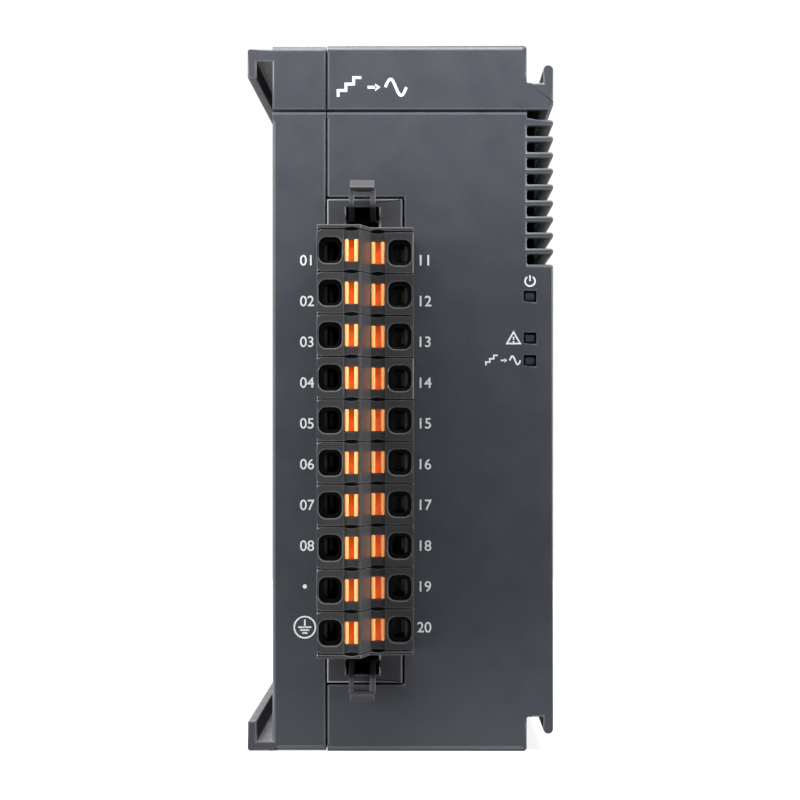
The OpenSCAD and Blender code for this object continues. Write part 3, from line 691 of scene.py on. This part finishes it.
def plug_round(edge):
    """Rims round the wire entries, and finer edges elsewhere on the plug's outer faces."""
    if not any(outside_plug(face) for face in edge.link_faces):
        return 0.0
    mid = (edge.verts[0].co + edge.verts[1].co) / 2
    row = min(BUTTON_Z, key=lambda z: abs(z - mid.z))
    for side in SIDES:
        across = abs(mid.x - ENTRY_X[side]) < ENTRY_HALF[0] + CLOSE
        upright = abs(mid.z - row) < ENTRY_HALF[1] + CLOSE
        if across and upright:
            return ENTRY_RIM
    return PLUG_EDGE


def plug():
    refine("plug_body", "plug", PLUG_EDGE, plug_round)
    refine("plug_base", "plug", BASE_ROUND)
    for k in range(1, ROWS + 1):
        for side in SIDES:
            node = f"button_{side}{k:02d}"
            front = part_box(node)[0].y + 2 * MM
            refine(node, "button", BUTTON_ROUND, near_front(BUTTON_ROUND, front), segments=3)


OUTER_ROUND, HOUSING_ROUND, LAMP_ROUND = 0.4 * MM, 0.25 * MM, 0.12 * MM
HEADER_ROUND, LATCH_ROUND, CLIP_ROUND, LENS_ROUND = 0.22 * MM, 0.1 * MM, 0.25 * MM, 0.28 * MM
OUTER_X = 17.4 * MM
TALL = 20 * MM
HEADER_BACK = FRONT_Y + 2.3 * MM
LAMP_BACK = FRONT_Y + 1 * MM
LAMP_MARGIN = 0.4 * MM
LABEL_RECESS = 0.3 * MM


def housing_round(edge):
    """Wide on the front's upright outer edges, narrow under the lamps, and none round the lamps or
    in the corners of the label's shallow recess."""
    mid = (edge.verts[0].co + edge.verts[1].co) / 2
    along = edge.verts[1].co - edge.verts[0].co
    for name in LAMPS:
        low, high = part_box("light_pipe_" + name)
        beside = all(low[k] - LAMP_MARGIN < mid[k] < high[k] + LAMP_MARGIN for k in (0, 2))
        if beside and mid.y < LAMP_BACK:
            under = abs(along.z) < CLOSE and mid.z < middle("light_pipe_" + name).z
            return LAMP_ROUND if under else 0.0
    if along.length < LABEL_RECESS + CLOSE:
        return 0.0
    upright = abs(along.z) > TALL and abs(along.x) < CLOSE and abs(along.y) < CLOSE
    if upright and abs(mid.y - FRONT_Y) < CLOSE and abs(mid.x) > OUTER_X:
        return OUTER_ROUND
    return HOUSING_ROUND


def housing():
    for node in ("left_housing", "right_housing"):
        refine(node, "housing", OUTER_ROUND, housing_round, may_trim=True)
    refine("terminal_header", "header", HEADER_ROUND, near_front(HEADER_ROUND, HEADER_BACK), may_trim=True)
    for node in ("latch_top", "latch_bottom"):
        refine(node, "latch", LATCH_ROUND, near_front(LATCH_ROUND, HEADER_BACK))
    refine("din_clip", "clip", CLIP_ROUND)
    for name in LAMPS:
        refine("light_pipe_" + name, "lens", LENS_ROUND, near_front(LENS_ROUND, LAMP_BACK), segments=3)


# Each node's slot, and how wide its edges are rounded in mm
SOFTENED = {
    "rating_label": ("label", 0.02), "header_pins": ("contact_metal", 0.06),
    "latch_pins": ("spring_steel", 0.05), "plug_springs": ("spring_steel", 0.03),
    "plug_contacts": ("shaded_wire_contact", 0.03), "indicator_leds": ("led", 0.1),
    "io_board": ("board", 0.05), "logic_board": ("board", 0.05), "processor_chip": ("chip", 0.1),
    "converter_chips": ("chip", 0.1), "isolator_chips": ("chip", 0.1), "power_module": ("chip", 0.3),
    "capacitors": ("can", 0.3), "board_link_socket": ("chip", 0.05),
    "board_link_pins": ("contact_metal", 0.05), "bus_spring_carrier": ("header", 0.08),
    "bus_springs": ("contact_metal", 0.04), "bus_pad_carrier": ("header", 0.1),
    "bus_pads": ("contact_metal", 0.03),
}


def inner_parts():
    for node, (slot, width) in SOFTENED.items():
        soften(node, slot, width * MM)


def clip_spring():
    """The rail clip's coil spring, wound as round wire with closed ends."""
    low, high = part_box("clip_spring")
    centre = (low + high) / 2
    wire = 0.2 * MM
    radius = (high.x - low.x) / 2 - wire
    turns, per_turn, sides = 8, 36, 12
    start, rise = low.z + wire, high.z - low.z - 2 * wire
    bm = bmesh.new()
    rings = []
    for i in range(turns * per_turn + 1):
        part = i / (turns * per_turn)
        a = 2 * math.pi * i / per_turn
        out = Vector((math.cos(a), math.sin(a), 0))
        core = Vector((centre.x, centre.y, start + rise * part)) + radius * out
        loop = [core + wire * (math.cos(b) * out + math.sin(b) * Vector((0, 0, 1)))
                for b in (2 * math.pi * j / sides for j in range(sides))]
        rings.append([bm.verts.new(p) for p in loop])
    for a, b in zip(rings, rings[1:]):
        for j in range(sides):
            bm.faces.new((a[j], a[(j + 1) % sides], b[(j + 1) % sides], b[j]))
    bm.faces.new(rings[0][::-1])
    bm.faces.new(rings[-1])
    for face in bm.faces:
        face.smooth = len(face.verts) == 4
    piece = piece_of("clip_spring_coil", bm, "housing", "spring_steel")
    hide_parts("clip_spring")
    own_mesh(piece)


# ---- Room: floor, light and camera ----

def stage():
    place = (0, 0.11, FLOOR_Z)
    bpy.ops.mesh.primitive_circle_add(vertices=96, radius=0.2, fill_type="NGON", location=place)
    floor = bpy.context.object
    floor.name = "floor"
    s = Surface("floor_white")
    s.set(Base_Color=s.mix(s.spread(s.noise(0.3, 2), 0, 1), (0.30, 0.30, 0.30, 1), (0.33, 0.33, 0.33, 1)))
    seen = s.node("LightPath").outputs["Is Camera Ray"]
    s.set(Roughness=0.7, Emission_Color=(1, 1, 1, 1), Emission_Strength=s.spread(seen, 0.3, 0.76, (0, 1)))
    floor.data.materials.append(s.material)


def softbox(name, place, size, power, target=(0, -0.03, 0)):
    light = bpy.data.lights.new(name, "AREA")
    light.shape = "RECTANGLE"
    light.size, light.size_y = size
    light.energy = power
    lamp = bpy.data.objects.new(name, light)
    lamp.location = place
    lamp.rotation_euler = (Vector(target) - Vector(place)).to_track_quat("-Z", "Y").to_euler()
    bpy.context.scene.collection.objects.link(lamp)


def lights():
    softbox("key_above_front", (0.0, -0.15, 0.15), (0.30, 0.08), 0.84, (0, -0.068, 0.02))
    softbox("top", (0, 0.0, 0.5), (0.7, 0.36), 2.8)
    softbox("side_left", (-0.48, -0.2, 0.04), (0.34, 0.5), 6.5)
    softbox("side_right", (0.5, -0.15, 0.06), (0.26, 0.5), 5.0)
    softbox("back", (0.0, 0.45, 0.3), (0.6, 0.4), 2.5)


def world():
    """White behind the object, and a dimmer white all round it as soft fill."""
    made = bpy.data.worlds.new("studio")
    bpy.context.scene.world = made
    made.use_nodes = True
    tree = made.node_tree
    tree.nodes.clear()
    seen = tree.nodes.new("ShaderNodeLightPath").outputs["Is Camera Ray"]
    strength = tree.nodes.new("ShaderNodeMapRange")
    strength.inputs["To Min"].default_value = 0.115
    strength.inputs["To Max"].default_value = 1.05
    tree.links.new(seen, strength.inputs["Value"])
    background = tree.nodes.new("ShaderNodeBackground")
    background.inputs["Color"].default_value = (1, 1, 1, 1)
    tree.links.new(strength.outputs[0], background.inputs["Strength"])
    output = tree.nodes.new("ShaderNodeOutputWorld")
    tree.links.new(background.outputs[0], output.inputs["Surface"])


def camera():
    data = bpy.data.cameras.new("camera")
    data.lens = 121.0
    data.sensor_width = 36.0
    data.shift_x = -0.0395
    data.shift_y = 0.031
    data.clip_start = 0.01
    made = bpy.data.objects.new("camera", data)
    made.location = (0.00234, -0.403, -0.0033)
    made.rotation_euler = (math.radians(90), 0, 0)
    bpy.context.scene.collection.objects.link(made)
    bpy.context.scene.camera = made


bpy.context.scene.view_settings.view_transform = "Standard"
camera()
world()
lights()
stage()
housing()
plug()
inner_parts()
clip_spring()
front_marks()
label_marks()
